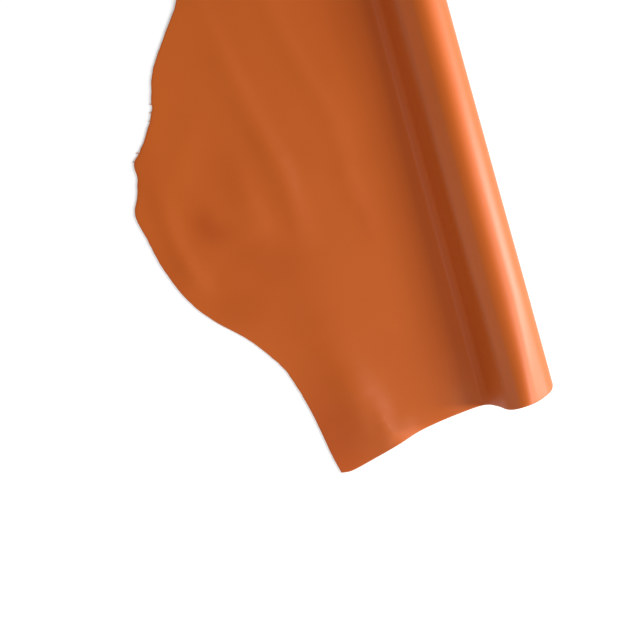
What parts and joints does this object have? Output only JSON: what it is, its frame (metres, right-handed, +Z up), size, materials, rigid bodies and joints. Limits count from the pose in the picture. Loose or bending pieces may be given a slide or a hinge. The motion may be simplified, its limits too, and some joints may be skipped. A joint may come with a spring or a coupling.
{
  "type": "leather belly",
  "caption": "Orange leather belly, a ragged-edged side cut of a hide, lying flat along one side and curled into a long open roll along its straight back edge.",
  "frame": {"origin": "middle of the base of the box around the part, on the surface that it lies on", "axes": "+Y along the roll, from the end with the narrow shank corner to the far end; +X across the leather, from its ragged outer edge towards the roll; +Z up"},
  "size_m": [0.3548, 1.1968, 0.0605],
  "materials": {
    "leather": "orange-tan drum-dyed leather, smooth grain side with a soft satin sheen, paler suede flesh side and paler raw cut edges"
  },
  "bodies": {
    "root": {"belly": "leather"}
  },
  "joints": []
}
